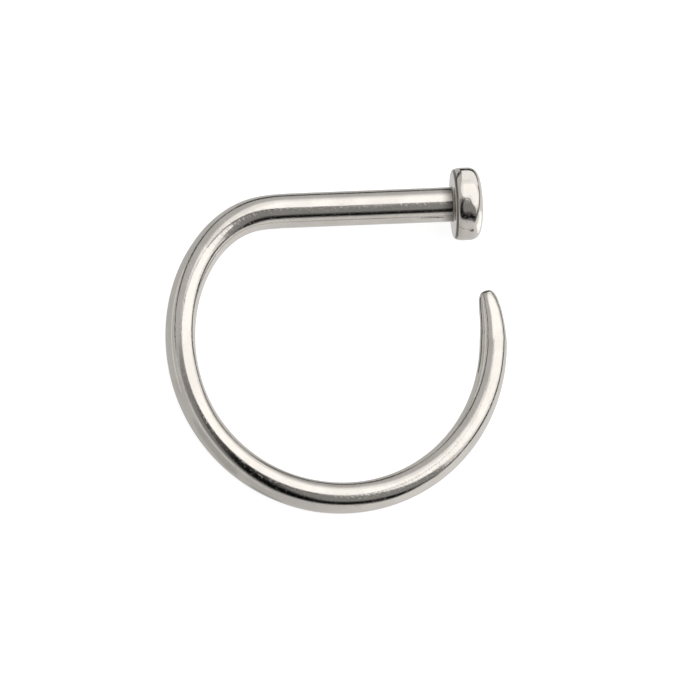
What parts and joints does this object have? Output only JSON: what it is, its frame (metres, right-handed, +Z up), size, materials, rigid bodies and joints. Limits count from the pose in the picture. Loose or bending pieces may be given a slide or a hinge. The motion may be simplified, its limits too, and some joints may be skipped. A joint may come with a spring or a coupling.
{
  "type": "d-ring nostril piercing",
  "caption": "Nostril D-ring: a straight post with a domed button head, bent at the back into a round open hoop that narrows to a blunt tip.",
  "frame": {"origin": "middle of the ring's bounding box in plan, on the surface that it lies on", "axes": "+X along the post in plan, towards its head; +Y from the hoop towards the post; +Z up, out of the surface that the ring lies on its side on"},
  "size_m": [0.0098, 0.01, 0.0021],
  "materials": {
    "polished_steel": "mirror polished, with a very fine grain"
  },
  "bodies": {
    "root": {"d_ring": "polished_steel"}
  },
  "joints": []
}
